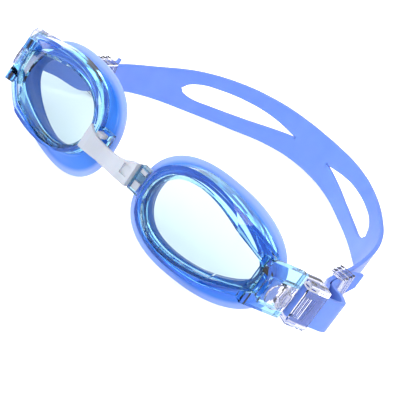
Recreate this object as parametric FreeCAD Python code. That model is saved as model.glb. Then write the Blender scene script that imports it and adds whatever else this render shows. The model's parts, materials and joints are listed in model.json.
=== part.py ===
import FreeCAD, Part
import math
import os
from FreeCAD import Placement, Rotation, Vector

# Swim goggles in millimetres. Everything is modelled in the wearer's frame and stood on
# its rest plane at the end.
#   X  across the face, towards the wearer's left     (+X pieces are called "left")
#   Y  from the lenses back to the head strap
#   Z  up
# Origin of the wearer's frame: midway between the lenses, at the flat front of the lenses.
# The +X half is modelled and the -X half is its mirror image; only the nose bridge and the
# strap are single pieces.

# ---------------------------------------------------------------- driving dimensions
LEAN = 13.6                # the cups lean back this far when the goggles stand on a table

CUP_CENTRE_X = 34.6        # centre of one lens from the middle of the nose
LENS_WRAP = 4.0            # turn of the flat of the lens round the face, degrees
FRAME_WRAP = 10.5          # turn of the back face of the frame
SEAL_WRAP = 12.0           # turn of the plane in which the seal meets the face

# An egg outline: centre along the cup, centre in height, half length, half height, taper
# towards the temple, and bluntness (2 is an ellipse).
FRAME_EGG = (10.0, 0.45, 31.0, 15.6, 0.33, 2.0)
WINDOW_EGG = (8.0, -0.7, 25.6, 12.0, 0.45, 2.0)
COLLAR_EGG = (4.6, 0.2, 25.6, 15.4, 0.24, 2.1)
SEAL_EGG = (3.0, -2.2, 30.5, 20.8, 0.08, 2.35)
SIGHT_EGG = (2.0, -0.6, 22.5, 15.0, 0.26, 2.1)

CREASE_RADIUS = 19.5       # round the flat of the lens, where it folds back to the temple
TEMPLE_SLOPE = 1.55        # sideways run of the folded facet for one of depth
LENS_THICKNESS = 1.8
LENS_RECESS = 0.2          # of the lens below the face of the bezel
LENS_FIT = 0.12            # gap round the rim of the lens
LEDGE = 1.3                # width of the step that the lens rests on
RIDGE_HEIGHT = 0.9         # raised rim round the bezel
RIDGE_WIDTH = 1.1
FRAME_DEPTH = 6.2
FRAME_DRAFT = 0.7          # the frame grows by this towards its back

SEAL_DEPTH = 12.8          # depth of the face plane at the middle of the cup
SEAL_LIP = 2.6             # width of the thin flared lip
SEAL_LIP_THICKNESS = 1.1
SEAL_NECK = 1.0            # how far the wall draws in ahead of the lip
COLLAR_DEPTH = 1.5         # of the seal's collar in the back of the frame
COLLAR_WALL = 1.4
SOFT_FIT = 0.1
FOOT_GROW, FOOT_FLARE, FOOT_DEPTH = 0.5, 0.9, 1.6    # foot of the seal's wall on the frame
NECK_DEPTH = 2.0           # of the wall's narrowest line ahead of the face

TEMPLE_X, TEMPLE_Y = 64.0, 8.2     # root of the fork on the temple end of the frame
TEMPLE_TURN = 60.0                 # sweep of the fork from straight across
FORK_THICKNESS = 3.6
FORK_TOP, FORK_BOTTOM = 8.4, -9.6
FORK_GAP_TOP, FORK_GAP_BOTTOM = 2.8, -7.2
FORK_ROOT_END = 3.9                # where the root ends and the two arms start
OVAL_S, OVAL_HALF_WIDTH, OVAL_HALF_HEIGHT = 2.5, 0.9, 3.6    # opening through the root
HINGE_S = 14.0                     # hinge pin along the fork
HINGE_PIN_R = 0.8
HINGE_FIT = 0.05                   # radial clearance of the pin in what turns on it
KNUCKLE_R = 1.8
SIDE_GAP = 0.3                     # between parts that turn against each other

STRAP_THICKNESS = 1.7
STRAP_HEIGHT = 12.4
STRAP_Z = -1.8                     # middle of the strap at the buckle
POST_S = 20.2                      # the post that the strap folds round
POST_R = 1.2
STRAP_FIT = 0.3
REAR_BAR_S = 24.2
BUCKLE_END = 25.2
CHEEK = 1.4                        # thickness of the cheek below the strap
TOP_CHEEK = 2.6                    # and of the thicker one above it
BACK_PLATE = 1.0                   # inner plate, and the plate over the outside of the strap
COMB_RIBS, COMB_PITCH = 4, 1.4     # ribs across the outer plate, beside the pad
COMB_HEIGHT, COMB_INSET, COMB_SHORT = 0.35, 0.4, 2.0

PAD_S = 8.9                        # centre of the thumb pad
PAD_HALF_LENGTH = 4.7
PAD_HALF_HEIGHT = 4.7
PAD_THICKNESS = 1.0
LEVER_KNUCKLE = 4.0                # height of the lever's own knuckle on the pin
PAWL_TEETH = 5

KEEPER_LENGTH = 8.0
KEEPER_WALL = 1.2
KEEPER_FIT = 0.3

LUG_NOSE_X, LUG_BACK = 8.2, 3.2    # nose end and back face of the frame's bridge lug
LUG_FRONT = 0.2
LUG_TOP, LUG_BOTTOM = 4.1, -5.6
LUG_WALL = 0.8

# ---------------------------------------------------------------- helpers
FORK_MIDDLE = (FORK_GAP_TOP + FORK_GAP_BOTTOM) / 2
LAYER = POST_R + STRAP_FIT + STRAP_THICKNESS / 2   # post axis to the middle of a strap layer
TEMPLE = Placement(Vector(TEMPLE_X, TEMPLE_Y, 0), Rotation(Vector(0, 0, 1), TEMPLE_TURN))


def egg_points(egg, grow=0.0, count=28):
    """Points round an egg outline, as (along the cup, height) pairs."""
    centre, height, half_length, half_height, taper, blunt = egg
    points = []
    for step in range(count):
        angle = 2 * math.pi * step / count
        c, s = math.cos(angle), math.sin(angle)
        along = math.copysign(abs(c) ** (2 / blunt), c)
        up = math.copysign(abs(s) ** (2 / blunt), s) * (1 - taper * c)
        points.append((centre + (half_length + grow) * along, height + (half_height + grow) * up))
    return points


def cup_point(along, up, depth, wrap):
    """A point on a cup's plane, turned round the face about the cup's centre."""
    turn = math.radians(wrap)
    return Vector(CUP_CENTRE_X + along * math.cos(turn), depth + along * math.sin(turn), up)


def egg_ring(egg, depth, wrap, grow=0.0):
    """A smooth closed wire of an egg outline at a depth of the cup."""
    curve = Part.BSplineCurve()
    curve.interpolate(Points=[cup_point(a, u, depth, wrap) for a, u in egg_points(egg, grow)],
                      PeriodicFlag=True)
    return Part.Wire(curve.toShape())


def egg_loft(*rings):
    """A solid through egg rings given as (egg, depth, wrap, grow)."""
    return Part.makeLoft([egg_ring(*ring) for ring in rings], True, True)


def front_envelope(shift):
    """Everything behind the folded front surface, moved back by shift.

    The surface is flat inside the crease and a wide cone outside it.
    """
    turn = math.radians(LENS_WRAP)
    back = Vector(-math.sin(turn), math.cos(turn), 0)
    base = cup_point(0, WINDOW_EGG[1], 0, LENS_WRAP) + back * shift
    reach = 45
    return Part.makeCone(CREASE_RADIUS, CREASE_RADIUS + reach * TEMPLE_SLOPE, reach, base, back)


def temple_box(s0, s1, n0, n1, z0, z1):
    """A box along the fork: s away from the lens, n in towards the head, z up."""
    box = Part.makeBox(s1 - s0, n1 - n0, z1 - z0, Vector(s0, n0, z0))
    box.Placement = TEMPLE.multiply(box.Placement)
    return box


def temple_rod(s, n, radius, z0, z1):
    """An upright cylinder in the fork's own frame."""
    rod = Part.makeCylinder(radius, z1 - z0, Vector(s, n, z0))
    rod.Placement = TEMPLE.multiply(rod.Placement)
    return rod


def temple_place(shape):
    """Carry a shape made in the fork's own frame to its place."""
    shape.Placement = TEMPLE.multiply(shape.Placement)
    return shape


def temple_xy(s, n):
    """Plan position of a point given in the fork's own frame."""
    point = TEMPLE.multVec(Vector(s, n, 0))
    return point.x, point.y


def prism(points, height_from, height_to):
    """An upright prism on a plan outline."""
    face = Part.Face(Part.makePolygon([Vector(x, y, height_from) for x, y in points + points[:1]]))
    return face.extrude(Vector(0, 0, height_to - height_from))


def fuse(shapes):
    """One solid from overlapping ones, with leftover seams removed."""
    return shapes[0].fuse(shapes[1:]).removeSplitter()


def mirrored(shape):
    """The same piece for the other eye."""
    return shape.mirror(Vector(0, 0, 0), Vector(1, 0, 0))


# ---------------------------------------------------------------- eyecup
WINDOW_END_S = 1.0         # where the window stops, along the fork
FRAME_END_S = 1.6
SEAT_GROW = 0.9            # the lens is this much larger than its window


def lens_outline(grow):
    """The lens's edge as an upright prism through the cup, cut square at the temple."""
    body = egg_loft((WINDOW_EGG, -6, LENS_WRAP, SEAT_GROW + grow),
                    (WINDOW_EGG, 24, LENS_WRAP, SEAT_GROW + grow))
    return body.cut(temple_box(WINDOW_END_S + grow, 60, -40, 40, -40, 40))


def make_lens():
    """Flat front that folds back to the temple along a round crease, as one thin shell."""
    shell = front_envelope(LENS_RECESS).cut(front_envelope(LENS_RECESS + LENS_THICKNESS))
    return lens_outline(0).common(shell)


def make_frame():
    """Bezel with a raised rim, lens seat, socket for the seal, bridge lug and temple fork."""
    outside = egg_loft((FRAME_EGG, -4, LENS_WRAP, 0),
                       (FRAME_EGG, FRAME_DEPTH, FRAME_WRAP, FRAME_DRAFT))
    outside = outside.cut(temple_box(FRAME_END_S, 60, -40, 40, -40, 40))
    inside_rim = egg_loft((FRAME_EGG, -8, LENS_WRAP, -RIDGE_WIDTH),
                          (FRAME_EGG, 4 * FRAME_DEPTH, LENS_WRAP, -RIDGE_WIDTH))
    body = outside.common(front_envelope(0))
    rim = outside.cut(inside_rim).common(front_envelope(-RIDGE_HEIGHT))
    clear_of_seal = seal_wall(SIDE_GAP)
    body = body.fuse([rim, temple_fork().cut(clear_of_seal), bridge_lug().cut(clear_of_seal)])

    seat = lens_outline(LENS_FIT).cut(front_envelope(LENS_RECESS + LENS_THICKNESS))
    opening = lens_outline(-LEDGE)
    collar = egg_loft((COLLAR_EGG, FRAME_DEPTH - COLLAR_DEPTH, FRAME_WRAP, -COLLAR_WALL + SOFT_FIT),
                      (COLLAR_EGG, FRAME_DEPTH + 10, FRAME_WRAP, -COLLAR_WALL + SOFT_FIT))
    return body.cut([seat, opening, collar]).removeSplitter()


def temple_fork():
    """Two arms with rounded ends that carry the hinge pin, on a root with an oval opening."""
    half = FORK_THICKNESS / 2
    pieces = [temple_box(-2.2, FORK_ROOT_END, -half, half, FORK_BOTTOM, FORK_TOP)]
    for low, high in ((FORK_GAP_TOP, FORK_TOP), (FORK_BOTTOM, FORK_GAP_BOTTOM)):
        pieces.append(temple_box(FORK_ROOT_END - 0.5, HINGE_S, -half, half, low, high))
        pieces.append(temple_rod(HINGE_S, 0, half, low, high))
    fork = fuse(pieces)
    middle = Vector(OVAL_S, 0, FORK_MIDDLE)
    oval = Part.Face(Part.Wire(Part.Ellipse(middle, OVAL_HALF_HEIGHT, OVAL_HALF_WIDTH).toShape()))
    oval.rotate(middle, Vector(1, 0, 0), 90)
    oval.rotate(middle, Vector(0, 1, 0), 90)
    oval.translate(Vector(0, -20, 0))
    hole = temple_place(oval.extrude(Vector(0, 40, 0)))
    return fork.cut([hole, temple_rod(HINGE_S, 0, HINGE_PIN_R, FORK_BOTTOM - 1, FORK_TOP + 1)])


def bridge_lug():
    """Flat loop at the nose end of the frame, with two openings for the bridge's pegs."""
    inner_x = CUP_CENTRE_X - 19.6
    lug = Part.makeBox(inner_x - LUG_NOSE_X, LUG_BACK - LUG_FRONT, LUG_TOP - LUG_BOTTOM,
                       Vector(LUG_NOSE_X, LUG_FRONT, LUG_BOTTOM))
    openings = []
    for low, high in lug_openings():
        openings.append(Part.makeBox(LUG_OPENING, LUG_BACK + 2, high - low,
                                     Vector(LUG_NOSE_X + LUG_WALL, LUG_FRONT - 1, low)))
    return lug.cut(openings)


LUG_OPENING = 3.2
LUG_BAR = (-1.5, 1.5)      # the solid bar between the two openings


def lug_openings():
    """Height ranges of the lug's two openings."""
    return ((LUG_BOTTOM + LUG_WALL, LUG_BAR[0]), (LUG_BAR[1], LUG_TOP - LUG_WALL))


def seal_wall(grow):
    """Outside of the seal's wall, from the back of the frame to the face, before it is hollowed."""
    return egg_loft((COLLAR_EGG, FRAME_DEPTH, FRAME_WRAP, FOOT_GROW + grow),
                    (COLLAR_EGG, FRAME_DEPTH + FOOT_DEPTH, FRAME_WRAP + 1, FOOT_FLARE + grow),
                    (SEAL_EGG, SEAL_DEPTH - NECK_DEPTH, SEAL_WRAP, grow - SEAL_LIP - SEAL_NECK),
                    (SEAL_EGG, SEAL_DEPTH, SEAL_WRAP, grow - SEAL_LIP))


def make_seal():
    """Soft skirt: a collar in the frame, a necked wall and a thin flared lip."""
    lip_back = SEAL_DEPTH
    lip = egg_loft((SEAL_EGG, lip_back - SEAL_LIP_THICKNESS, SEAL_WRAP, -SEAL_LIP / 2),
                   (SEAL_EGG, lip_back, SEAL_WRAP, 0))
    collar = egg_loft((COLLAR_EGG, FRAME_DEPTH - COLLAR_DEPTH + SOFT_FIT, FRAME_WRAP, -COLLAR_WALL),
                      (COLLAR_EGG, FRAME_DEPTH + 1.0, FRAME_WRAP, -COLLAR_WALL))
    hollow = egg_loft((COLLAR_EGG, FRAME_DEPTH - 4, FRAME_WRAP, -2 * COLLAR_WALL),
                      (COLLAR_EGG, FRAME_DEPTH + 1.5, FRAME_WRAP, -2 * COLLAR_WALL),
                      (SIGHT_EGG, SEAL_DEPTH + 4, SEAL_WRAP, 0.6))
    return seal_wall(0).fuse([lip, collar]).cut(hollow).removeSplitter()


# ---------------------------------------------------------------- buckle and release lever
def make_buckle():
    """Clear channel: knuckles on the pin, back plate, two cheeks, strap post and rear bar."""
    strap_top = STRAP_Z + STRAP_HEIGHT / 2
    strap_bottom = STRAP_Z - STRAP_HEIGHT / 2
    plate_front = LAYER + STRAP_THICKNESS / 2 + SIDE_GAP
    plate_back = plate_front + BACK_PLATE
    cheek_start = HINGE_S + FORK_THICKNESS / 2 + 2 * SIDE_GAP
    outer = -LAYER - STRAP_THICKNESS / 2
    low, high = FORK_GAP_BOTTOM + SIDE_GAP, FORK_GAP_TOP - SIDE_GAP
    lever_low = FORK_MIDDLE - LEVER_KNUCKLE / 2 - SIDE_GAP
    lever_high = FORK_MIDDLE + LEVER_KNUCKLE / 2 + SIDE_GAP

    pieces = [temple_box(HINGE_S, BUCKLE_END, plate_front, plate_back, low, high)]
    for z0, z1 in ((low, lever_low), (lever_high, high)):
        pieces.append(temple_rod(HINGE_S, 0, KNUCKLE_R, z0, z1))
        pieces.append(temple_box(HINGE_S - KNUCKLE_R, HINGE_S + KNUCKLE_R, 0, plate_back, z0, z1))
    bottom, top = strap_bottom - CHEEK, strap_top + TOP_CHEEK
    pieces.append(temple_box(cheek_start, BUCKLE_END, plate_front, plate_back, bottom, top))
    for z0, z1 in ((strap_top + SIDE_GAP, top), (bottom, strap_bottom - SIDE_GAP)):
        pieces.append(temple_box(cheek_start, BUCKLE_END, outer - SIDE_GAP, plate_back, z0, z1))
    cover = outer - SIDE_GAP
    pieces.append(temple_box(cheek_start, BUCKLE_END, cover - BACK_PLATE, cover, bottom, top))
    for index in range(COMB_RIBS):
        start = cheek_start + COMB_INSET + index * COMB_PITCH
        pieces.append(temple_box(start, start + COMB_PITCH / 2, cover - BACK_PLATE - COMB_HEIGHT, cover,
                                 strap_bottom + COMB_SHORT, strap_top - COMB_SHORT))
    pieces.append(temple_rod(POST_S, 0, POST_R, strap_bottom - CHEEK / 2, strap_top + CHEEK / 2))
    pieces.append(temple_box(REAR_BAR_S - 0.8, REAR_BAR_S + 0.8, -0.8, 0.8,
                             strap_bottom - CHEEK / 2, strap_top + CHEEK / 2))
    body = fuse(pieces)
    return body.cut(temple_rod(HINGE_S, 0, HINGE_PIN_R + HINGE_FIT, low - 1, high + 1)).removeSplitter()


def make_lever():
    """Oval thumb pad with a dished face, its knuckle on the pin, and a toothed pawl behind."""
    outer = -FORK_THICKNESS / 2 - 1.5
    pad = Part.makeCylinder(1, PAD_THICKNESS, Vector(0, 0, 0), Vector(0, 1, 0))
    stretch = FreeCAD.Matrix()
    stretch.scale(PAD_HALF_LENGTH, 1, PAD_HALF_HEIGHT)
    pad = pad.transformGeometry(stretch)
    pad.translate(Vector(PAD_S, outer, FORK_MIDDLE))
    dish = Part.makeSphere(11, Vector(PAD_S, outer - 10.6, FORK_MIDDLE))
    pad = temple_place(pad.cut(dish))
    low = FORK_MIDDLE - LEVER_KNUCKLE / 2
    high = FORK_MIDDLE + LEVER_KNUCKLE / 2
    arm = temple_box(PAD_S + 1, HINGE_S, outer + 0.3, outer + PAD_THICKNESS, low, high)
    knuckle = temple_rod(HINGE_S, 0, KNUCKLE_R, low, high)
    link = temple_box(HINGE_S - KNUCKLE_R, HINGE_S, outer + 0.3, 0, low, high)
    teeth = []
    pitch = LEVER_KNUCKLE / PAWL_TEETH
    for index in range(PAWL_TEETH):
        z0 = low + pitch * (index + 0.2)
        teeth.append(temple_box(HINGE_S, HINGE_S + KNUCKLE_R + 0.05, -0.8, 0.8, z0, z0 + 0.6 * pitch))
    body = fuse([pad, arm, knuckle, link] + teeth)
    return body.cut(temple_rod(HINGE_S, 0, HINGE_PIN_R + HINGE_FIT, low - 1, high + 1)).removeSplitter()


def make_hinge_pin():
    """Plain pin through both arms of the fork."""
    return temple_rod(HINGE_S, 0, HINGE_PIN_R - 0.02, FORK_BOTTOM + 0.2, FORK_TOP - 0.2)


# ---------------------------------------------------------------- nose bridge
BRIDGE_FRONT = -2.6
BRIDGE_THICKNESS = 1.5
BRIDGE_BOTTOM = -5.4
BRIDGE_RISE = 1.7          # the lapped end stands forward of the rim by this
BRIDGE_RISE_FROM, BRIDGE_RISE_TO = -6.5, -12.6
BRIDGE_WAIST_TOP = 0.8
BRIDGE_END_TOP = 4.0
BRIDGE_BLOCK = (1.4, LUG_NOSE_X - 0.15)   # thick end block beside the +X lug
BRIDGE_LAP_X = -15.0                      # end of the plate that laps the -X lug
PEG_FIT = 0.15


def make_bridge():
    """Waisted strip: a lapped plate with pegs at one end, a thick block with pegs at the other."""
    start, end = BRIDGE_BLOCK
    top = Part.BSplineCurve()
    top.interpolate([Vector(BRIDGE_LAP_X, 0, BRIDGE_END_TOP), Vector(-11, 0, 1.7),
                     Vector(-5, 0, BRIDGE_WAIST_TOP), Vector(start, 0, 1.5),
                     Vector(end, 0, BRIDGE_END_TOP)])
    corners = [Vector(end, 0, BRIDGE_END_TOP), Vector(end, 0, BRIDGE_BOTTOM),
               Vector(BRIDGE_LAP_X, 0, BRIDGE_BOTTOM), Vector(BRIDGE_LAP_X, 0, BRIDGE_END_TOP)]
    edges = [top.toShape()] + [Part.makeLine(a, b) for a, b in zip(corners, corners[1:])]
    outline = Part.Face(Part.Wire(edges))
    outline.translate(Vector(0, -10, 0))
    front_view = outline.extrude(Vector(0, 30, 0))
    back = BRIDGE_FRONT + BRIDGE_THICKNESS
    tab_back = LUG_BACK + PEG_FIT + 0.9
    lap = BRIDGE_FRONT - BRIDGE_RISE
    plan = [(BRIDGE_LAP_X, lap), (BRIDGE_RISE_TO, lap), (BRIDGE_RISE_FROM, BRIDGE_FRONT),
            (start, BRIDGE_FRONT), (end, BRIDGE_FRONT + 0.6),
            (end, tab_back), (start + 1.2, tab_back), (start + 1.2, back + 1.2), (start, back),
            (BRIDGE_RISE_FROM, back), (BRIDGE_RISE_TO, lap + BRIDGE_THICKNESS),
            (BRIDGE_LAP_X, lap + BRIDGE_THICKNESS)]
    body = prism(plan, -20, 20).common(front_view)

    peg_x = LUG_NOSE_X + LUG_WALL + PEG_FIT
    peg_width = LUG_OPENING - 2 * PEG_FIT
    pieces = [Part.makeBox(peg_x + peg_width - end, 0.9, LUG_TOP - LUG_BOTTOM - 0.4,
                           Vector(end, LUG_BACK + PEG_FIT, LUG_BOTTOM + 0.2))]
    for low, high in lug_openings():
        height = high - low - 2 * PEG_FIT
        pieces.append(Part.makeBox(peg_width, LUG_BACK + PEG_FIT - LUG_FRONT, height,
                                   Vector(peg_x, LUG_FRONT + 0.2, low + PEG_FIT)))
        pieces.append(Part.makeBox(peg_width, LUG_BACK - 0.4 - back + BRIDGE_RISE, height,
                                   Vector(-peg_x - peg_width, back - BRIDGE_RISE, low + PEG_FIT)))
    body = fuse([body] + pieces)
    # hollow in the face of the thick block
    recess = Part.makeBox(end - start - 3.4, 1.0, 4.0, Vector(start + 2.2, BRIDGE_FRONT - 0.1, -2.6))
    return body.cut(recess).removeSplitter()


# ---------------------------------------------------------------- head strap
# The strap leaves the buckles upright in the wearer's frame. From the keepers back it lies
# along the rest plane, so its edges are cut after the goggles are stood on that plane.
TAIL_GAP = 0.3             # between the strap and its doubled-back tail
KEEPER_X, KEEPER_Y = 67.8, 63.0    # middle of the keeper, in plan
KEEPER_TURN = 4.5                  # the strap leans in this much there, degrees
KEEPER_TRAVEL = 2.0                # forward along the strap
RUN_BEND = 3.0                     # the strap takes this long to bend into the straight run
TAIL_TONGUE = 4.5                  # height of the tongue at the end of the tail
TAIL_TIP, TAIL_FLARE = 5.0, 2.4    # end of the tail behind the keeper, and how far it stands off
BULGE_X, BULGE_Y = 82.4, 38.5      # the tail bows out through this corner
# Corners of the back of the loop, each with how far it lies over to the +X side.
BACK_CORNERS = ((59.0, 95.0, 2.6), (40.0, 116.5, 1.0), (15.0, 132.6, -1.3))
KEEPER_LIFT = 2.8          # lower edge of the strap above the rest plane at the keeper
SPREAD_HALF = 10.25        # half height where the two strands bow apart
BACK_HALF = 8.8            # half height of the joined back
LEVEL_TO = 22.0                    # the strap keeps the buckle's level until this far ahead
FLARE_FROM, FLARE_TO = 6.0, 60.0       # behind the keeper, the strap widens to the two strands
SLOT_HALF = 4.25
SLOT_INNER, SLOT_OUTER = 10.5, 52.0    # ends of each slot, across the back of the head
REST_GAP = 0.05
BACK_MIDDLE = SPREAD_HALF + REST_GAP   # middle line of the back above the rest plane
BACK_SHIFT = BACK_CORNERS[-1][2]       # the middle of the back lies over by this
REACH = 200


def arc_path(corners):
    """Straight runs joined by tangent arcs, through plan corners (x, y) or (x, y, bend).

    Each arc is as large as its runs allow, or starts no more than bend before its corner.
    """
    points = [Vector(corner[0], corner[1], 0) for corner in corners]
    edges = []
    last = points[0]
    for index in range(1, len(points) - 1):
        corner = points[index]
        arriving, leaving = points[index - 1] - corner, points[index + 1] - corner
        reach = 0.49 * min(arriving.Length, leaving.Length)
        if len(corners[index]) == 3:
            reach = min(reach, corners[index][2])
        arriving.normalize()
        leaving.normalize()
        start, end = corner + arriving * reach, corner + leaving * reach
        middle = (arriving + leaving).normalize()
        half_turn = (math.pi - arriving.getAngle(leaving)) / 2
        radius = reach / math.tan(half_turn)
        centre = corner + middle * (radius / math.cos(half_turn))
        edges.append(Part.makeLine(last, start))
        edges.append(Part.Arc(start, centre - middle * radius, end).toShape())
        last = end
    edges.append(Part.makeLine(last, points[-1]))
    return edges


def ribbon(edges, thickness, low, high):
    """An upright band of a given thickness on both sides of a plan path."""
    side = Part.Wire(edges).makeOffset2D(thickness / 2, openResult=True)
    band = side.makeOffset2D(-thickness, fill=True, openResult=True)
    band.translate(Vector(0, 0, low))
    return band.extrude(Vector(0, 0, high - low))


def beside_keeper(along, across, bend=None):
    """A plan corner from the middle of the keeper: along the strap, and out from the head."""
    turn = math.radians(KEEPER_TURN)
    corner = (KEEPER_X - along * math.sin(turn) + across * math.cos(turn),
              KEEPER_Y + along * math.cos(turn) + across * math.sin(turn))
    return corner if bend is None else corner + (bend,)


def side_route():
    """Plan routes of one side: the tail from its tip to the fold, and the main band."""
    offset = (STRAP_THICKNESS + TAIL_GAP) / 2
    half = KEEPER_LENGTH / 2
    front = -half - KEEPER_TRAVEL - 0.5 - RUN_BEND
    flare = TAIL_FLARE * 0.8
    start, pull = temple_xy(POST_S, -LAYER), temple_xy(POST_S + 1, -LAYER)
    ahead = (BULGE_X - start[0]) / (pull[0] - start[0])
    outer_bend = temple_xy(POST_S + ahead, -LAYER)
    tail = [beside_keeper(half + TAIL_TIP, offset + TAIL_FLARE),
            beside_keeper(half + flare, offset, flare - 0.2), beside_keeper(front, offset, RUN_BEND),
            (BULGE_X, BULGE_Y), outer_bend, start]
    main = [temple_xy(POST_S, LAYER), temple_xy(BUCKLE_END + 3, LAYER) + (2.8,),
            beside_keeper(front, -offset, RUN_BEND), beside_keeper(half + 9, -offset, 8.0)]
    return tail, main


def make_strap():
    """One moulded band, split into two strands behind the head, folded round both posts."""
    tail, main = side_route()
    back = [(x + over, y) for x, y, over in BACK_CORNERS]
    back += [(-x + over, y) for x, y, over in reversed(BACK_CORNERS)]
    loop = main + back + [(-corner[0],) + corner[1:] for corner in reversed(main)]
    low, high = -30, 50
    pieces = [ribbon(arc_path(loop), STRAP_THICKNESS, low, high)]
    end = ribbon(arc_path(tail), STRAP_THICKNESS, low, high).cut(tail_cut())
    fold = temple_rod(POST_S, 0, LAYER + STRAP_THICKNESS / 2, low, high)
    fold = fold.cut([temple_rod(POST_S, 0, LAYER - STRAP_THICKNESS / 2, low - 1, high + 1),
                     temple_box(POST_S, POST_S + 9, -9, 9, low - 1, high + 1)])
    for piece in (end, fold):
        pieces += [piece, mirrored(piece)]
    band = stand(fuse(pieces))
    return band.common(side_profile()).common(back_profile()).cut(slots()).removeSplitter()


def tail_cut():
    """Wedge that leaves only the upper corner of the tail's end, behind the keeper."""
    from_y = KEEPER_Y + KEEPER_LENGTH / 2 + 1
    top = KEEPER_LIFT + STRAP_HEIGHT - REST_LIFT + from_y * math.tan(math.radians(LEAN))
    corners = [(from_y, -30), (from_y, top - STRAP_HEIGHT), (from_y + TAIL_TIP, top - TAIL_TONGUE),
               (from_y + 30, top - TAIL_TONGUE), (from_y + 30, -30)]
    outline = Part.makePolygon([Vector(0, y, z) for y, z in corners + corners[:1]])
    return Part.Face(outline).extrude(Vector(REACH, 0, 0))


def outline_prism(edges, direction):
    """A prism on a closed outline, along a direction."""
    return Part.Face(Part.Wire(Part.__sortEdges__(edges))).extrude(direction)


def side_profile():
    """The strap's edges seen from the side, as a prism right across the head."""
    keeper_y = rest_y(KEEPER_Y, KEEPER_LIFT + STRAP_HEIGHT / 2)
    run_start = keeper_y - KEEPER_LENGTH / 2 - KEEPER_TRAVEL - 0.5
    edges = []
    ends = []
    half_strap = STRAP_HEIGHT / 2
    for level, run, wide in ((STRAP_Z + half_strap, KEEPER_LIFT + STRAP_HEIGHT, BACK_MIDDLE + SPREAD_HALF),
                             (STRAP_Z - half_strap, KEEPER_LIFT, BACK_MIDDLE - SPREAD_HALF)):
        first, leave = stood(0, TEMPLE_Y, level), stood(0, KEEPER_Y - LEVEL_TO, level)
        pull = (leave - first).normalize() * (LEVEL_TO / 4)
        arrive = Vector(0, run_start, run)
        flare_from = Vector(0, keeper_y + FLARE_FROM, run)
        flare_to = Vector(0, keeper_y + FLARE_TO, wide)
        half = Vector(0, (FLARE_TO - FLARE_FROM) / 2, 0)
        last = Vector(0, REACH, wide)
        edges += [Part.makeLine(first, leave),
                  bezier(leave, leave + pull, arrive - Vector(0, LEVEL_TO / 4, 0), arrive),
                  Part.makeLine(arrive, flare_from),
                  bezier(flare_from, flare_from + half, flare_to - half, flare_to),
                  Part.makeLine(flare_to, last)]
        ends.append((first, last))
    edges += [Part.makeLine(ends[0][0], ends[1][0]), Part.makeLine(ends[0][1], ends[1][1])]
    shape = outline_prism(edges, Vector(REACH, 0, 0))
    shape.translate(Vector(-REACH / 2, 0, 0))
    return shape


def bezier(*poles):
    """An edge along a Bezier curve."""
    curve = Part.BezierCurve()
    curve.setPoles(list(poles))
    return curve.toShape()


def back_profile():
    """The strap's edges seen from behind: lower where the strands join, wide beside it."""
    spread = 0.62 * SLOT_OUTER
    halves = [(0, BACK_HALF), (SLOT_INNER, BACK_HALF + 0.2), (spread, SPREAD_HALF),
              (SLOT_OUTER, SPREAD_HALF + 2), (REACH / 2, 40)]
    rows = [(-x, half) for x, half in reversed(halves[1:])] + halves
    edges = []
    for sign in (1, -1):
        curve = Part.BSplineCurve()
        curve.interpolate([Vector(x + BACK_SHIFT, 0, BACK_MIDDLE + sign * half) for x, half in rows])
        edges.append(curve.toShape())
    for end in (0, 1):
        edges.append(Part.makeLine(edges[0].Vertexes[end].Point, edges[1].Vertexes[end].Point))
    return outline_prism(edges, Vector(0, REACH, 0))


def slots():
    """Two long slots, pointed towards the middle and round at their outer ends."""
    cutters = []
    span = SLOT_OUTER - SLOT_INNER
    half = [(0.2, 0.42), (0.45, 0.85), (0.7, 1.0), (0.88, 0.93), (0.97, 0.6)]
    outline = [(0, 0)] + half + [(1, 0)] + [(along, -up) for along, up in reversed(half)] + [(0, 0)]
    for side in (-1, 1):
        curve = Part.BSplineCurve()
        curve.interpolate([Vector(BACK_SHIFT + side * (SLOT_INNER + span * along), 60,
                                  BACK_MIDDLE + SLOT_HALF * up) for along, up in outline])
        cutters.append(outline_prism([curve.toShape()], Vector(0, REACH, 0)))
    return cutters


KEEPER_RIB = 0.35          # of the keeper's wall that stands up as ribs
RIB_WIDTH = 1.2
RIB_PITCH = 2.6


def keeper_run():
    """Middle of the keeper and the direction of its travel, once the goggles stand."""
    turn, lean = math.radians(KEEPER_TURN), math.radians(LEAN)
    height = KEEPER_LIFT + STRAP_HEIGHT / 2
    middle = Vector(KEEPER_X, rest_y(KEEPER_Y, height), height)
    return middle, Vector(-math.sin(turn) * math.cos(lean), math.cos(turn), 0).normalize()


def make_keeper():
    """Clear sleeve round the strap and its tail, with raised ribs round the outside."""
    middle, along = keeper_run()
    across = along.cross(Vector(0, 0, 1))
    half_in = STRAP_THICKNESS + TAIL_GAP / 2 + KEEPER_FIT
    half_high = STRAP_HEIGHT / 2 + KEEPER_FIT

    def block(half_long, wall, at):
        """Part of the sleeve's outside, or of its hollow: upright ends, faces that lean."""
        corners = [beside_keeper(a, b * (half_in + wall))
                   for a, b in ((-25, -1), (25, -1), (25, 1), (-25, 1))]
        centre = middle + along * at
        ends = [centre + along * (a * half_long) + across * (b * 20)
                for a, b in ((-1, -1), (1, -1), (1, 1), (-1, 1))]
        column = prism([(end.x, end.y) for end in ends],
                       middle.z - half_high - wall, middle.z + half_high + wall)
        return stand(prism(corners, -40, 60)).common(column)

    sleeve = [block(KEEPER_LENGTH / 2, KEEPER_WALL - KEEPER_RIB, 0)]
    sleeve += [block(RIB_WIDTH / 2, KEEPER_WALL, place * RIB_PITCH) for place in (-1, 0, 1)]
    return fuse(sleeve).cut(block(KEEPER_LENGTH, 0, 0)).removeSplitter()


# ---------------------------------------------------------------- standing on the rest plane
SEAL = make_seal()
LEAN_TURN = Placement(Vector(0, 0, 0), Rotation(Vector(1, 0, 0), -LEAN))


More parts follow.
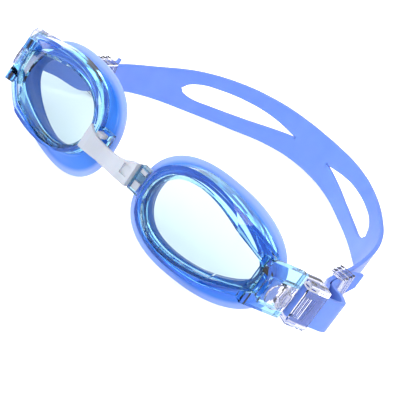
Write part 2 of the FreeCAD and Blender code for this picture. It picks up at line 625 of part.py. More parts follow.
def leaned(shape):
    """The shape turned by the lean, in a copy."""
    copy = shape.copy()
    copy.Placement = LEAN_TURN.multiply(copy.Placement)
    return copy


REST_LIFT = -leaned(SEAL).optimalBoundingBox(False, False).ZMin


def stand(shape):
    """Lean the shape back and lift it onto the rest plane, where the seals' edges touch."""
    shape = leaned(shape)
    shape.translate(Vector(0, 0, REST_LIFT))
    return shape


def stood(x, y, z):
    """Where a point of the wearer's frame is once the goggles stand."""
    return LEAN_TURN.multVec(Vector(x, y, z)) + Vector(0, 0, REST_LIFT)


def rest_y(y, height):
    """How far back a plan position of the wearer's frame is, at a height over the rest plane."""
    lean = math.radians(LEAN)
    return y / math.cos(lean) + (height - REST_LIFT) * math.tan(lean)


def build():
    """Every sub-part by node name, standing on the rest plane with its origin below the middle."""
    halves = {"frame": make_frame(), "lens": make_lens(), "seal": SEAL, "buckle": make_buckle(),
              "lever": make_lever(), "hinge_pin": make_hinge_pin()}
    pieces = {}
    for name, shape in halves.items():
        pieces[name + "_left"] = stand(shape)
        pieces[name + "_right"] = stand(mirrored(shape))
    pieces["nose_bridge"] = stand(make_bridge())
    pieces["strap"] = make_strap()
    keeper = make_keeper()
    pieces["keeper_left"] = keeper
    pieces["keeper_right"] = mirrored(keeper)
    for name, shape in pieces.items():
        pieces[name] = shape.Solids[0]
    box = Part.makeCompound(list(pieces.values())).optimalBoundingBox(False, False)
    for shape in pieces.values():
        shape.translate(Vector(-box.Center.x, -box.Center.y, -box.ZMin))
    return pieces, box


if __name__ == "__main__":
    os.makedirs("parts", exist_ok=True)
    pieces, box = build()
    print("overall", round(box.XLength, 2), round(box.YLength, 2), round(box.ZLength, 2),
          box.Center, box.ZMin)
    print("rest_lift", REST_LIFT)
    for name, shape in pieces.items():
        limits = shape.BoundBox
        corners = (limits.XMin, limits.XMax, limits.YMin, limits.YMax, limits.ZMin, limits.ZMax)
        print(name, shape.ShapeType, len(shape.Solids), round(shape.Volume, 1), shape.isValid(),
              len(shape.Faces), [round(v, 2) for v in corners])
        shape.exportStep("parts/%s.step" % name)
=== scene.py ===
import json
import logging
import math
from dataclasses import dataclass
from enum import Enum

import bmesh
import bpy
import numpy as np
from mathutils import Matrix, Vector


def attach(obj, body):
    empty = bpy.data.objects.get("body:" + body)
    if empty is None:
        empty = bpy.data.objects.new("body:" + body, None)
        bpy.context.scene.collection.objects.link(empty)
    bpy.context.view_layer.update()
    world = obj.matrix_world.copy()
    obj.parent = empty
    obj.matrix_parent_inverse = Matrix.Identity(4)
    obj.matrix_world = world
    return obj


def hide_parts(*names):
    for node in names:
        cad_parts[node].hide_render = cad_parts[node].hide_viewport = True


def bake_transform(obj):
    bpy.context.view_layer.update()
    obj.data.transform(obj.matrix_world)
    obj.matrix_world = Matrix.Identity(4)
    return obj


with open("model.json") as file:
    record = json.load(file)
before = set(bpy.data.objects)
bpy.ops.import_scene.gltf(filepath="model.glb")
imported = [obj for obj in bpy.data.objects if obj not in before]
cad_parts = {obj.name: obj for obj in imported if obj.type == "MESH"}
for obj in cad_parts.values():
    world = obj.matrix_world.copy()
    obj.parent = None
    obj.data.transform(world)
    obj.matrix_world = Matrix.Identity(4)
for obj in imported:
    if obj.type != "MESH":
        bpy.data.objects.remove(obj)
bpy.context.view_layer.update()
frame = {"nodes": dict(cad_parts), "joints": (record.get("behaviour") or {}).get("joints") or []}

LOG = logging.getLogger("goggles")
MM = 0.001
Colour = tuple[float, float, float]
Egg = tuple[float, float, float, float, float, float]


def linear(red: int, green: int, blue: int) -> Colour:
    """Turn a display colour into the linear colour that shaders take.

    Args:
        red: Red, 0 to 255.
        green: Green, 0 to 255.
        blue: Blue, 0 to 255.

    Returns:
        The linear colour, by the sRGB curve: c / 12.92 when small, ((c + 0.055) / 1.055) ** 2.4 above.
    """
    shares = [value / 255 for value in (red, green, blue)]
    return tuple(c / 12.92 if c <= 0.04045 else ((c + 0.055) / 1.055) ** 2.4 for c in shares)


class Side(Enum):
    """Which eye a piece belongs to, by the wearer's own left and right."""

    LEFT = 1
    RIGHT = -1

    @property
    def word(self) -> str:
        """The side as it is written in node and body names."""
        return self.name.lower()

    def face(self, points: np.ndarray) -> np.ndarray:
        """Mirror points of the +X half onto this side: x becomes x times the side's sign."""
        return points * np.array([self.value, 1.0, 1.0])


# --------------------------------------------------------------------------- placing


@dataclass(frozen=True)
class WearerFrame:
    """The upright frame in which the goggles are drawn, in mm, and how it stands on the table."""

    lean: float = math.radians(13.6)
    nose_point: tuple[float, float, float] = (-2.0, -1.85, -2.3)

    def turned(self, points: np.ndarray) -> np.ndarray:
        """Turn points back by the lean: y' = y cos + z sin and z' = z cos - y sin."""
        c, s = math.cos(self.lean), math.sin(self.lean)
        x, y, z = points[..., 0], points[..., 1], points[..., 2]
        return np.stack([x, y * c + z * s, z * c - y * s], axis=-1)

    def shift(self) -> np.ndarray:
        """Where the frame's origin lands, in mm, from the nose joint that both frames share."""
        joint = next(item for item in frame["joints"] if item["name"] == "nose_flex")
        return np.array(joint["pos_m"]) / MM - self.turned(np.array(self.nose_point))

    def stand(self, points: np.ndarray) -> np.ndarray:
        """Carry points in mm from the upright frame to the table, in metres."""
        return (self.turned(np.asarray(points, float)) + self.shift()) * MM

    def upright_height(self, y: np.ndarray, height: np.ndarray) -> np.ndarray:
        """Height in the upright frame of what is `height` mm over the table: z = (h - lift + y sin) / cos."""
        return (height - self.shift()[2] + y * math.sin(self.lean)) / math.cos(self.lean)


WEARER = WearerFrame()


# --------------------------------------------------------------------------- meshes


def make_object(name: str, points: np.ndarray, faces: list, smooth: bool = True) -> bpy.types.Object:
    """Make a mesh object from points in metres.

    Args:
        name: Name of the piece.
        points: Array of points, one row each.
        faces: Lists of point indices.
        smooth: Whether its faces shade smoothly.

    Returns:
        The new object, linked to the scene.
    """
    mesh = bpy.data.meshes.new(name)
    mesh.from_pydata(points.reshape(-1, 3).tolist(), [], faces)
    mesh.update()
    mesh.validate()
    mesh.polygons.foreach_set("use_smooth", [smooth] * len(mesh.polygons))
    piece = bpy.data.objects.new(name, mesh)
    bpy.context.scene.collection.objects.link(piece)
    return piece


def grid_faces(rows: int, columns: int, wrap_rows: bool, wrap_columns: bool, first: int = 0) -> list:
    """Quads of a grid: point (r, c) has index first + r * columns + c.

    Args:
        rows: Number of rows.
        columns: Number of columns.
        wrap_rows: Whether the last row joins the first.
        wrap_columns: Whether the last column joins the first.
        first: Index of the first point.

    Returns:
        Quads as lists of four indices.
    """
    r = np.arange(rows if wrap_rows else rows - 1)
    c = np.arange(columns if wrap_columns else columns - 1)
    r, c = np.meshgrid(r, c, indexing="ij")
    r1, c1 = (r + 1) % rows, (c + 1) % columns
    quads = np.stack([r * columns + c, r1 * columns + c, r1 * columns + c1, r * columns + c1], axis=-1)
    return (quads.reshape(-1, 4) + first).tolist()


def catmull(rows: np.ndarray, steps: int, closed: bool) -> np.ndarray:
    """Smooth rows of numbers by a Catmull-Rom spline.

    Between rows b and c, with neighbours a and d, a share t gives
    0.5 * (2b + (c - a) t + (2a - 5b + 4c - d) t^2 + (3b - a - 3c + d) t^3).

    Args:
        rows: The rows that the spline passes through.
        steps: Points to each span.
        closed: Whether the last row joins the first.

    Returns:
        The denser rows.
    """
    count = len(rows)
    index = np.arange(count if closed else count - 1)
    pick = (lambda k: rows[k % count]) if closed else (lambda k: rows[np.clip(k, 0, count - 1)])
    a, b, c, d = (pick(index + offset)[:, None, :] for offset in (-1, 0, 1, 2))
    t = (np.arange(steps) / steps)[None, :, None]
    dense = 0.5 * (2 * b + (c - a) * t + (2 * a - 5 * b + 4 * c - d) * t**2 + (3 * b - a - 3 * c + d) * t**3)
    dense = dense.reshape(-1, rows.shape[1])
    return dense if closed else np.vstack([dense, rows[-1:]])


def bake(piece: bpy.types.Object) -> bpy.types.Object:
    """Replace an object's mesh by what its modifiers make of it, and drop the modifiers."""
    graph = bpy.context.evaluated_depsgraph_get()
    mesh = bpy.data.meshes.new_from_object(piece.evaluated_get(graph))
    piece.modifiers.clear()
    piece.data = mesh
    return piece


def outward(piece: bpy.types.Object, merge: float = 0.00001) -> bpy.types.Object:
    """Merge doubled points and turn every face outwards."""
    form = bmesh.new()
    form.from_mesh(piece.data)
    bmesh.ops.remove_doubles(form, verts=form.verts, dist=merge)
    bmesh.ops.recalc_face_normals(form, faces=form.faces)
    form.to_mesh(piece.data)
    form.free()
    return piece


# --------------------------------------------------------------------------- finishes


def node_of(tree: bpy.types.NodeTree, kind: str, **inputs: object) -> bpy.types.Node:
    """Add a shader node and set its input sockets by name (underscores stand for spaces)."""
    node = tree.nodes.new(kind)
    for name, value in inputs.items():
        node.inputs[name.replace("_", " ")].default_value = value
    return node


def moulding_group() -> bpy.types.NodeTree:
    """Shared surface of moulded plastic: slow waviness, fine specks and soft colour drift.

    Returns:
        A node group with inputs Colour, Drift, Scale and Depth, and outputs Colour, Mask and Normal.
    """
    name = "moulded_surface"
    if name in bpy.data.node_groups:
        return bpy.data.node_groups[name]
    group = bpy.data.node_groups.new(name, "ShaderNodeTree")
    face = group.interface
    face.new_socket("Colour", in_out="INPUT", socket_type="NodeSocketColor")
    face.new_socket("Drift Colour", in_out="INPUT", socket_type="NodeSocketColor")
    face.new_socket("Scale", in_out="INPUT", socket_type="NodeSocketFloat").default_value = 120.0
    face.new_socket("Depth", in_out="INPUT", socket_type="NodeSocketFloat").default_value = 0.05
    face.new_socket("Colour", in_out="OUTPUT", socket_type="NodeSocketColor")
    face.new_socket("Mask", in_out="OUTPUT", socket_type="NodeSocketFloat")
    face.new_socket("Normal", in_out="OUTPUT", socket_type="NodeSocketVector")
    begin, end = group.nodes.new("NodeGroupInput"), group.nodes.new("NodeGroupOutput")
    where = group.nodes.new("ShaderNodeTexCoord")
    slow = node_of(group, "ShaderNodeTexNoise", Detail=2.0, Roughness=0.5)
    fine = node_of(group, "ShaderNodeTexNoise", Scale=900.0, Detail=2.0)
    mix = group.nodes.new("ShaderNodeMix")
    mix.data_type = "RGBA"
    bump = node_of(group, "ShaderNodeBump", Distance=0.0005)
    blend = group.nodes.new("ShaderNodeMath")
    blend.operation = "MULTIPLY_ADD"
    blend.inputs[1].default_value = 0.15
    link = group.links.new
    link(where.outputs["Object"], slow.inputs["Vector"])
    link(where.outputs["Object"], fine.inputs["Vector"])
    link(begin.outputs["Scale"], slow.inputs["Scale"])
    link(slow.outputs["Fac"], mix.inputs["Factor"])
    link(begin.outputs["Colour"], mix.inputs["A"])
    link(begin.outputs["Drift Colour"], mix.inputs["B"])
    link(fine.outputs["Fac"], blend.inputs[0])
    link(slow.outputs["Fac"], blend.inputs[2])
    link(blend.outputs[0], bump.inputs["Height"])
    link(begin.outputs["Depth"], bump.inputs["Strength"])
    link(mix.outputs["Result"], end.inputs["Colour"])
    link(slow.outputs["Fac"], end.inputs["Mask"])
    link(bump.outputs["Normal"], end.inputs["Normal"])
    return group


@dataclass(frozen=True)
class Finish:
    """One moulded finish: colour, clearness, gloss and the depth of its surface waves."""

    name: str
    colour: Colour
    drift: Colour
    roughness: float
    transmission: float = 0.0
    ior: float = 1.45
    subsurface: float = 0.0
    absorb: Colour | None = None
    density: float = 0.0
    scale: float = 120.0
    depth: float = 0.05
    coat: float = 0.0
    band: tuple[str, Colour] | None = None
    slot: str = "frame"

    def material(self) -> bpy.types.Material:
        """Build the material once and return it.

        Returns:
            The material, with the shared moulding group feeding colour and normal.
        """
        if self.name in bpy.data.materials:
            return bpy.data.materials[self.name]
        material = bpy.data.materials.new(self.name)
        material.use_nodes = True
        tree = material.node_tree
        shader = tree.nodes["Principled BSDF"]
        shader.inputs["Roughness"].default_value = self.roughness
        shader.inputs["IOR"].default_value = self.ior
        shader.inputs["Transmission Weight"].default_value = self.transmission
        shader.inputs["Subsurface Weight"].default_value = self.subsurface
        shader.inputs["Subsurface Scale"].default_value = 0.002
        shader.inputs["Coat Weight"].default_value = self.coat
        surface = tree.nodes.new("ShaderNodeGroup")
        surface.node_tree = moulding_group()
        surface.inputs["Colour"].default_value = (*self.colour, 1)
        surface.inputs["Drift Colour"].default_value = (*self.drift, 1)
        surface.inputs["Scale"].default_value = self.scale
        surface.inputs["Depth"].default_value = self.depth
        if self.band is None:
            tree.links.new(surface.outputs["Colour"], shader.inputs["Base Color"])
        else:
            share = tree.nodes.new("ShaderNodeAttribute")
            share.attribute_name = self.band[0]
            paint = tree.nodes.new("ShaderNodeMix")
            paint.data_type = "RGBA"
            paint.inputs["B"].default_value = (*self.band[1], 1)
            tree.links.new(share.outputs["Fac"], paint.inputs["Factor"])
            tree.links.new(surface.outputs["Colour"], paint.inputs["A"])
            tree.links.new(paint.outputs["Result"], shader.inputs["Base Color"])
        tree.links.new(surface.outputs["Normal"], shader.inputs["Normal"])
        if self.absorb is not None:
            volume = node_of(tree, "ShaderNodeVolumeAbsorption", Density=self.density)
            volume.inputs["Color"].default_value = (*self.absorb, 1)
            tree.links.new(volume.outputs[0], tree.nodes["Material Output"].inputs["Volume"])
        return material


AZURE = Finish("azure_clear", linear(196, 232, 252), linear(208, 238, 255), 0.03, transmission=1.0,
               ior=1.4, absorb=linear(50, 212, 250), density=100.0, slot="frame")
LENS = Finish("lens_clear", linear(196, 214, 215), linear(190, 210, 212), 0.01, transmission=1.0,
              ior=1.2, depth=0.01, slot="lens")
SEAL = Finish("seal_blue", linear(40, 112, 214), linear(52, 124, 222), 0.3, transmission=0.15,
              ior=1.38, subsurface=0.2, depth=0.03, band=("lip", linear(142, 168, 232)), slot="seal")
STRAP = Finish("strap_periwinkle", linear(92, 126, 214), linear(108, 140, 224), 0.4, transmission=0.12,
               ior=1.38, subsurface=0.2, depth=0.04, slot="strap")
CLEAR = Finish("clip_clear", linear(236, 235, 242), linear(244, 242, 246), 0.06, transmission=1.0,
               ior=1.38, absorb=linear(190, 200, 232), density=60.0, slot="clip")
MILKY = Finish("bridge_milky", linear(178, 184, 196), linear(190, 195, 205), 0.25, transmission=0.35,
               ior=1.4, subsurface=0.2, slot="bridge")
PIN = Finish("pin_clear", linear(225, 232, 240), linear(235, 240, 245), 0.1, transmission=0.8,
             ior=1.46, slot="pin")


def dress(piece: bpy.types.Object, finish: Finish) -> bpy.types.Object:
    """Give every material slot of a piece one finish."""
    material = finish.material()
    if not piece.data.materials:
        piece.data.materials.append(material)
    for slot in piece.material_slots:
        slot.material = material
    return piece


# --------------------------------------------------------------------------- eyecups


@dataclass(frozen=True)
class EyeCup:
    """Frame, lens and soft seal of one eye."""

    side: Side
    centre_x: float = 34.6
    collar: Egg = (4.6, 0.2, 25.6, 15.4, 0.24, 2.1)
    lip: Egg = (3.0, -2.2, 30.5, 20.8, 0.08, 2.35)
    sight: Egg = (2.0, -0.6, 22.5, 15.0, 0.26, 2.1)
    round_count: int = 144

    def ring(self, rows: np.ndarray) -> np.ndarray:
        """Points of egg rings.

        A row holds centre, height, half length, half height, taper, bluntness, depth, wrap and grow.
        Round the ring by angle a, along = centre + (length + grow) |cos a|^(2/blunt), signed, and
        up = height + (half height + grow) |sin a|^(2/blunt) (1 - taper cos a), signed. The plane of
        the ring is turned round the face by wrap.

        Args:
            rows: One row of nine numbers for each ring.

        Returns:
            Points in mm, ring by ring.
        """
        angle = np.linspace(0, 2 * np.pi, self.round_count, endpoint=False)[None, :]
        centre, height, length, half, taper, blunt, depth, wrap, grow = (rows[:, k, None] for k in range(9))
        c, s = np.cos(angle), np.sin(angle)
        along = centre + (length + grow) * np.sign(c) * np.abs(c) ** (2 / blunt)
        up = height + (half + grow) * np.sign(s) * np.abs(s) ** (2 / blunt) * (1 - taper * c)
        turn = np.radians(wrap)
        return np.stack([self.centre_x + along * np.cos(turn), depth + along * np.sin(turn), up], axis=-1)

    def seal(self) -> bpy.types.Object:
        """Build the soft skirt: collar, wall that flares, a rolled thin lip and the smooth inside."""
        c, s = self.collar, self.lip
        i = tuple(0.5 * (a + b) for a, b in zip(c, self.sight))
        m = tuple(0.5 * (a + b) for a, b in zip(c, s))
        profile = np.array([
            (*c, 5.1, 10.5, -1.50), (*c, 6.0, 10.5, -1.50), (*c, 6.3, 10.5, -0.9), (*c, 6.34, 10.5, 0.2),
            (*c, 6.7, 10.7, 0.62), (*c, 7.8, 11.2, 0.85), (*m, 9.3, 11.6, -1.3), (*s, 10.9, 12, -3.1),
            (*s, 11.6, 12, -1.7), (*s, 12.0, 12, -0.4), (*s, 12.35, 12, -0.05), (*s, 12.7, 12, -0.35),
            (*s, 12.75, 12, -1.7), (*s, 12.65, 12, -3.6), (*i, 12.4, 12, -0.9), (*i, 11.6, 11.8, -1.35),
            (*c, 9.0, 11.2, -2.5), (*c, 7.4, 10.7, -2.75), (*c, 5.4, 10.5, -2.8), (*c, 5.05, 10.5, -2.3)])
        rows = catmull(profile, 4, True)
        points = WEARER.stand(self.side.face(self.ring(rows)))
        name = f"face_seal_{self.side.word}"
        piece = make_object(name, points, grid_faces(len(rows), self.round_count, True, True))
        lip = np.interp(np.arange(len(rows)) / 4, [7.2, 8.2, 12.8, 14.0], [0, 1, 1, 0])
        layer = piece.data.attributes.new("lip", "FLOAT", "POINT")
        layer.data.foreach_set("value", np.repeat(lip, self.round_count))
        return outward(piece)

    def build(self) -> None:
        """Dress the rigid pieces and put the soft seal on them."""
        word = self.side.word
        for node, finish in (("frame", AZURE), ("lens", LENS), ("hinge_pin", PIN)):
            dress(frame["nodes"][f"{node}_{word}"], finish)
        seal = dress(self.seal(), SEAL)
        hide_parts(f"seal_{word}")
        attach(seal, f"{word}_cup")
        LOG.info("eyecup %s: seal with %d faces", word, len(seal.data.polygons))


# --------------------------------------------------------------------------- buckles


@dataclass(frozen=True)
class Buckle:
    """Clear buckle, release lever and strap keeper of one side."""

    side: Side

    def build(self) -> None:
        """Dress the clear pieces of this side."""
        word = self.side.word
        for node in ("buckle", "lever", "keeper"):
            dress(frame["nodes"][f"{node}_{word}"], CLEAR)
        LOG.info("buckle %s dressed", word)


# --------------------------------------------------------------------------- nose bridge


@dataclass(frozen=True)
class NoseBridge:
    """Milky waisted strip between the two frames, bending over the nose."""

    flex: tuple[float, float] = (1.4, -6.5)
    edge: float = 0.25
    cuts: int = 12

    def strip(self) -> bpy.types.Object:
        """Build the soft strip: the moulded form with round edges, cut across so that it can bend.

        Returns:
            The strip, with cross cuts at x = x0 + k (x1 - x0) / n, for k from 0 to n.
        """
        piece = bpy.data.objects.new("bridge_strip", frame["nodes"]["nose_bridge"].data.copy())
        bpy.context.scene.collection.objects.link(piece)
        outward(piece)
        soft = piece.modifiers.new("edges", "BEVEL")
        soft.width, soft.segments = self.edge * MM, 3
        soft.limit_method, soft.angle_limit = "ANGLE", math.radians(40)
        bake(piece)
        form = bmesh.new()
        form.from_mesh(piece.data)
        for x in np.linspace(self.flex[0], self.flex[1], self.cuts + 1) * MM:
            everything = form.verts[:] + form.edges[:] + form.faces[:]
            bmesh.ops.bisect_plane(form, geom=everything, plane_co=(x, 0, 0), plane_no=(1, 0, 0))
        form.to_mesh(piece.data)
        form.free()
        return piece

    def build(self) -> None:
        """Put the soft strip in the place of the moulded bridge."""
        piece = dress(self.strip(), MILKY)
        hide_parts("nose_bridge")
        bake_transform(piece)
        LOG.info("nose bridge: %d faces", len(piece.data.polygons))


# --------------------------------------------------------------------------- strap


@dataclass(frozen=True)
class HeadStrap:
    """Soft band with two rear strands, doubled back through both buckles."""

    thickness: float = 1.7
    height: float = 12.4
    level: float = -1.8
    level_to: float = 22.0
    layer: float = 2.35
    temple: tuple[float, float, float] = (64.0, 8.2, 60.0)
    keeper: tuple[float, float, float] = (67.8, 63.0, 4.5)
    keeper_length: float = 8.0
    travel: float = 2.0
    bend: float = 3.0
    tail_tip: float = 5.0
    tail_flare: float = 2.4
    tongue: float = 4.5
    post: float = 20.2
    buckle_end: float = 25.2
    straight: float = 3.0
    turn_reach: float = 2.8
    lead: float = 9.0
    lead_reach: float = 8.0
    bulge: tuple[float, float] = (82.4, 38.5)
    back: tuple[tuple[float, float, float], ...] = (
        (59.0, 95.0, 2.6), (40.0, 116.5, 1.0), (15.0, 132.6, -1.3))
    lift: float = 2.8
    spread_half: float = 10.25
    join_half: float = 8.8
    rest_gap: float = 0.05
    flare: tuple[float, float] = (6.0, 60.0)
    slot_half: float = 4.25
    slot_span: tuple[float, float] = (10.5, 52.0)
    slot_swell: tuple[tuple[float, float], ...] = (
        (0, 0), (0.1, 0.2), (0.2, 0.42), (0.35, 0.7), (0.45, 0.85), (0.6, 0.97), (0.7, 1.0), (0.82, 0.98))
    slots_behind: float = 80.0
    strands_behind: float = 90.0
    step: float = 0.7
    sheet_rows: int = 8
    curve_points: int = 60
    repeats: int = 6
    edge: float = 0.4

    def temple_xy(self, s: float, n: float) -> tuple[float, float]:
        """Plan position of a point s along the buckle and n in towards the head."""
        x, y, turn = self.temple
        c, k = math.cos(math.radians(turn)), math.sin(math.radians(turn))
        return x + s * c - n * k, y + s * k + n * c

    def beside_keeper(self, along: float, across: float, bend: float | None = None) -> tuple[float, ...]:
        """A plan corner from the middle of the keeper: along the strap, and out from the head."""
        x, y, turn = self.keeper
        c, k = math.cos(math.radians(turn)), math.sin(math.radians(turn))
        corner = (x - along * k + across * c, y + along * c + across * k)
        return corner if bend is None else corner + (bend,)

    def side_route(self) -> tuple[list, list]:
        """Corners of one side: the tail from its tip to the post, and the main band to the keeper."""
        offset = (self.thickness + 0.3) / 2
        half = self.keeper_length / 2
        front = -half - self.travel - 0.5 - self.bend
        flare = self.tail_flare * 0.8
        start, pull = self.temple_xy(self.post, -self.layer), self.temple_xy(self.post + 1, -self.layer)
        ahead = (self.bulge[0] - start[0]) / (pull[0] - start[0])
        tail = [self.beside_keeper(half + self.tail_tip, offset + self.tail_flare),
                self.beside_keeper(half + flare, offset, flare - 0.2),
                self.beside_keeper(front, offset, self.bend),
                self.bulge, self.temple_xy(self.post + ahead, -self.layer), start]
        main = [self.temple_xy(self.post, self.layer),
                self.temple_xy(self.buckle_end + self.straight, self.layer) + (self.turn_reach,),
                self.beside_keeper(front, -offset, self.bend),
                self.beside_keeper(half + self.lead, -offset, self.lead_reach)]
        return tail, main

    @staticmethod
    def path(corners: list, step: float) -> np.ndarray:
        """Points along straight runs joined by tangent arcs.

        Each arc starts as far from its corner as the runs allow, 0.49 of the shorter, or by the corner's own
        limit. Its radius is that reach divided by the tangent of half the turn.

        Args:
            corners: Plan corners (x, y) or (x, y, reach).
            step: Spacing of the points, in mm.

        Returns:
            Plan points, evenly spaced along the path.
        """
        plan = [np.array(corner[:2], float) for corner in corners]
        parts = [plan[0][None]]
        for index in range(1, len(plan) - 1):
            here = plan[index]
            before, after = plan[index - 1] - here, plan[index + 1] - here
            reach = 0.49 * min(np.linalg.norm(before), np.linalg.norm(after))
            if len(corners[index]) == 3:
                reach = min(reach, corners[index][2])
            before, after = before / np.linalg.norm(before), after / np.linalg.norm(after)
            half = math.acos(np.clip(before @ after, -1, 1)) / 2
            radius = reach * math.tan(half)
            middle = (before + after) / np.linalg.norm(before + after)
            centre = here + middle * (radius / math.sin(half))
            start, end = here + before * reach, here + after * reach
            a0, a1 = (math.atan2(*(p - centre)[::-1]) for p in (start, end))
            sweep = (a1 - a0 + math.pi) % (2 * math.pi) - math.pi
            angle = a0 + sweep * np.linspace(0, 1, 40)
            parts.append(centre + radius * np.stack([np.cos(angle), np.sin(angle)], axis=-1))
        parts.append(plan[-1][None])
        line = np.vstack(parts)
        along = np.concatenate([[0], np.cumsum(np.linalg.norm(np.diff(line, axis=0), axis=1))])
        even = np.linspace(0, along[-1], max(2, round(along[-1] / step)))
        return np.stack([np.interp(even, along, line[:, k]) for k in (0, 1)], axis=-1)

    def edge_height(self, y: np.ndarray, upper: bool) -> np.ndarray:
        """Height over the table of the strap's upper or lower edge, where it is y mm back in plan.

        It is level in the upright frame at the buckle, falls by a Bezier curve to the keeper's run, and
        flares by a second one to the two strands. The height and the place along the table depend on
        each other through the lean, so they are found by repeating y' = y / cos + (h - lift) tan.

        Args:
            y: Plan distances back, in mm.
            upper: Whether the upper edge is meant.

        Returns:
            Heights in mm.
        """
        sign = 1 if upper else -1
        level = self.level + sign * self.height / 2
        run = self.lift + (self.height if upper else 0)
        wide = self.spread_half + self.rest_gap + sign * self.spread_half
        lean, rise = WEARER.lean, WEARER.shift()[2]
        c, s = math.cos(lean), math.sin(lean)
        middle = self.keeper[1] / c + (self.lift + self.height / 2 - rise) * math.tan(lean)
        arrive = np.array([middle - self.keeper_length / 2 - self.travel - 0.5, run])
        from_y = self.keeper[1] - self.level_to
        leave = np.array([from_y * c + level * s, level * c - from_y * s + rise])
        handle = self.level_to / 4
        t = np.linspace(0, 1, self.curve_points)[:, None]

        def bezier(a: np.ndarray, b: np.ndarray, d: np.ndarray, e: np.ndarray) -> np.ndarray:
            """Cubic Bezier curve through a and e with handles b and d."""
            return a * (1 - t) ** 3 + 3 * b * t * (1 - t) ** 2 + 3 * d * t * t * (1 - t) + e * t**3

        fall = bezier(leave, leave + np.array([c, -s]) * handle, arrive - [handle, 0], arrive)
        f0, f1 = (np.array([middle + f, h]) for f, h in zip(self.flare, (run, wide)))
        half = [(self.flare[1] - self.flare[0]) / 2, 0]
        curve = np.vstack([[leave - 30 * np.array([c, -s])], fall, bezier(f0, f0 + half, f1 - half, f1),
                           [f1 + [200, 0]]])
        height = np.full_like(y, run)
        for _ in range(self.repeats):
            height = np.interp(y / c + (height - rise) * math.tan(lean), curve[:, 0], curve[:, 1])
        return height

    def slot_edge(self, share: np.ndarray) -> np.ndarray:
        """Half height of a slot at a share of its length: a slow swell, then a round outer end."""
        swell, end = self.slot_swell, self.slot_swell[-1]
        inner = np.interp(share, [at for at, _ in swell], [height for _, height in swell])
        outer = np.sqrt(np.clip(1 - ((share - end[0]) / (1 - end[0])) ** 2, 0, 1)) * end[1]
        open_ = np.where(share < end[0], inner, outer)
        return np.where((share > 0) & (share < 1), open_, 0) * self.slot_half

    def band(self, name: str, plan: np.ndarray, tongue: bool = False) -> bpy.types.Object:
        """Build a stretch of the strap as a sheet along a plan path, split where its slot is open.

        Args:
            name: Name of the piece.
            plan: Plan points along the stretch.
            tongue: Whether its end behind the keeper narrows to a tongue along the upper edge.

        Returns:
            The closed band, with rounded edges.
        """
        x, y = plan[:, 0], plan[:, 1]
        top, bottom = self.edge_height(y, True), self.edge_height(y, False)
        offset = np.abs(x - self.back[-1][2])
        inner, outer = self.slot_span
        half = np.interp(offset, [0, inner, 0.62 * outer, outer, 100],
                         [self.join_half, self.join_half + 0.2, self.spread_half, self.spread_half + 2, 40.0])
        half = np.where(y > self.strands_behind, half, 60)
        middle = self.spread_half + self.rest_gap
        top, bottom = np.minimum(top, middle + half), np.maximum(bottom, middle - half)
        if tongue:
            past = np.clip((y - self.keeper[1] - self.keeper_length / 2 - 1) / self.tail_tip, 0, 1)
            bottom = bottom + (self.height - self.tongue) * past
        share = (offset - inner) / (outer - inner)
        gap = np.where(y > self.slots_behind, self.slot_edge(share), 0)
        centre = np.where(y > self.slots_behind, middle, (top + bottom) / 2)
        rows = self.sheet_rows
        v = np.linspace(0, 1, rows)[:, None]
        lower = bottom + (centre - gap - bottom) * v
        upper = centre + gap + (top - centre - gap) * v
        heights = np.vstack([lower, upper])
        points = np.stack([np.broadcast_to(x, heights.shape), np.broadcast_to(y, heights.shape),
                           WEARER.upright_height(y[None, :], heights)], axis=-1)
        faces = grid_faces(rows, len(x), False, False) + grid_faces(rows, len(x), False, False, rows * len(x))
        piece = outward(make_object(name, WEARER.stand(points), faces), 0.00002)
        wall = piece.modifiers.new("wall", "SOLIDIFY")
        wall.thickness, wall.offset, wall.use_even_offset = self.thickness * MM, 0, True
        soft = piece.modifiers.new("edges", "BEVEL")
        soft.width, soft.segments = self.edge * MM, 2
        soft.limit_method, soft.angle_limit = "ANGLE", math.radians(50)
        return bake(piece)

    def build(self) -> None:
        """Build the rear band and both ends."""
        tail, main = self.side_route()
        flip = lambda corner: (-corner[0],) + tuple(corner[1:])
        loop = main + [(x + over, y) for x, y, over in self.back]
        loop += [(-x + over, y) for x, y, over in reversed(self.back)]
        loop += [flip(corner) for corner in reversed(main)]
        whole = self.path(loop, self.step)
        cut = self.keeper[1]
        behind = whole[:, 1] >= cut
        rear = self.band("strap_rear", whole[behind])
        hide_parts("strap")
        dress(rear, STRAP)
        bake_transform(rear)
        LOG.info("rear strap: %d faces", len(rear.data.polygons))
        fold_angle = np.radians(self.temple[2]) + np.linspace(1.5, 0.5, 24) * np.pi
        post = np.array(self.temple_xy(self.post, 0))
        # the fold runs from the outer layer, round the front of the post, to the inner layer
        fold = post + self.layer * np.stack([np.cos(fold_angle), np.sin(fold_angle)], axis=-1)
        front = whole[: np.argmax(behind) + 1]
        route = np.vstack([self.path(tail, self.step), fold[1:-1], front])
        for side in Side:
            plan = route * np.array([side.value, 1])
            end = self.band(f"strap_end_{side.word}", plan, True)
            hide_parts("strap")
            dress(end, STRAP)
            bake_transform(end)
            LOG.info("strap end %s: %d faces", side.word, len(end.data.polygons))


# --------------------------------------------------------------------------- studio


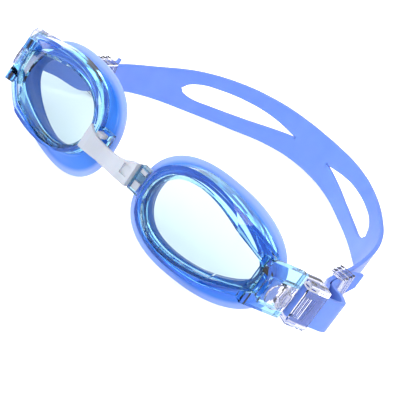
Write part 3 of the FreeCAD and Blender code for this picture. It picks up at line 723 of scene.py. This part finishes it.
@dataclass(frozen=True)
class Studio:
    """Pale floor, soft light and the camera."""

    azimuth: float = 26.75
    elevation: float = 16.5
    roll: float = -10.29
    distance: float = 400.0
    target: tuple[float, float, float] = (34.2, 0.0, 9.0)
    lens: float = 109.5

    def camera(self) -> None:
        """Aim the camera by its angles in the upright frame, then lean it with the goggles."""
        az, el, roll = (math.radians(a) for a in (self.azimuth, self.elevation, self.roll))
        back = np.array([math.sin(az) * math.cos(el), -math.cos(az) * math.cos(el), math.sin(el)])
        right = np.array([math.cos(az), math.sin(az), 0.0])
        up = np.cross(back, right)
        rr = math.cos(roll) * right + math.sin(roll) * up
        uu = -math.sin(roll) * right + math.cos(roll) * up
        place = WEARER.stand(np.array(self.target) + back * self.distance)
        axes = [WEARER.turned(a) for a in ((rr + uu) / math.sqrt(2), (uu - rr) / math.sqrt(2), back)]
        data = bpy.data.cameras.new("camera")
        data.lens, data.sensor_width = self.lens, 36.0
        data.clip_start, data.clip_end = 0.01, 10.0
        camera = bpy.data.objects.new("camera", data)
        bpy.context.scene.collection.objects.link(camera)
        matrix = Matrix(np.array(axes).T.tolist()).to_4x4()
        matrix.translation = Vector(place.tolist())
        camera.matrix_world = matrix
        bpy.context.scene.camera = camera

    def world(self) -> None:
        """White for what the eye, gloss and glass see, and a plain level of grey light for the rest."""
        world = bpy.data.worlds.new("studio")
        world.use_nodes = True
        bpy.context.scene.world = world
        tree = world.node_tree
        tree.nodes.clear()
        rays = tree.nodes.new("ShaderNodeLightPath")
        seen = node_of(tree, "ShaderNodeBackground", Color=(1, 1, 1, 1), Strength=1.0)
        light = node_of(tree, "ShaderNodeBackground", Color=(0.97, 0.98, 1, 1), Strength=0.75)
        mix = tree.nodes.new("ShaderNodeMixShader")
        out = tree.nodes.new("ShaderNodeOutputWorld")
        either = [tree.nodes.new("ShaderNodeMath") for _ in range(2)]
        for node in either:
            node.operation = "MAXIMUM"
        tree.links.new(rays.outputs["Is Camera Ray"], either[0].inputs[0])
        tree.links.new(rays.outputs["Is Glossy Ray"], either[0].inputs[1])
        tree.links.new(either[0].outputs[0], either[1].inputs[0])
        tree.links.new(rays.outputs["Is Transmission Ray"], either[1].inputs[1])
        tree.links.new(either[1].outputs[0], mix.inputs[0])
        tree.links.new(light.outputs[0], mix.inputs[1])
        tree.links.new(seen.outputs[0], mix.inputs[2])
        tree.links.new(mix.outputs[0], out.inputs["Surface"])

    def floor(self) -> None:
        """A wide white floor that keeps a faint shadow."""
        size = 3.0
        corners = np.array([[-size, -size, -0.0002], [size, -size, -0.0002], [size, size, -0.0002],
                            [-size, size, -0.0002]])
        floor = make_object("floor", corners, [[0, 1, 2, 3]], False)
        material = bpy.data.materials.new("floor_white")
        material.use_nodes = True
        shader = material.node_tree.nodes["Principled BSDF"]
        shader.inputs["Base Color"].default_value = (0.9, 0.9, 0.9, 1)
        shader.inputs["Roughness"].default_value = 0.9
        shader.inputs["Specular IOR Level"].default_value = 0.0
        shader.inputs["Emission Color"].default_value = (1, 1, 1, 1)
        shader.inputs["Emission Strength"].default_value = 0.55
        floor.data.materials.append(material)

    def lamps(self) -> None:
        """One large soft key above and in front, and a smaller fill from the other side."""
        for name, place, size, power in (("key", (0.35, -0.55, 0.8), 0.7, 9.0),
                                         ("fill", (-0.7, -0.2, 0.5), 0.6, 4.0)):
            data = bpy.data.lights.new(name, "AREA")
            data.size, data.energy = size, power
            lamp = bpy.data.objects.new(name, data)
            bpy.context.scene.collection.objects.link(lamp)
            lamp.location = place
            lamp.rotation_euler = (-Vector(place)).to_track_quat("-Z", "Y").to_euler()

    def build(self) -> None:
        """Set up the whole studio."""
        self.camera()
        self.world()
        self.floor()
        self.lamps()
        bpy.context.scene.view_settings.view_transform = "Standard"


def main() -> None:
    """Build the goggles and their studio."""
    logging.basicConfig(level=logging.INFO, format="%(message)s")
    for side in Side:
        EyeCup(side).build()
        Buckle(side).build()
    NoseBridge().build()
    HeadStrap().build()
    Studio().build()
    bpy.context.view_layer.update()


if __name__ == "__main__":
    main()
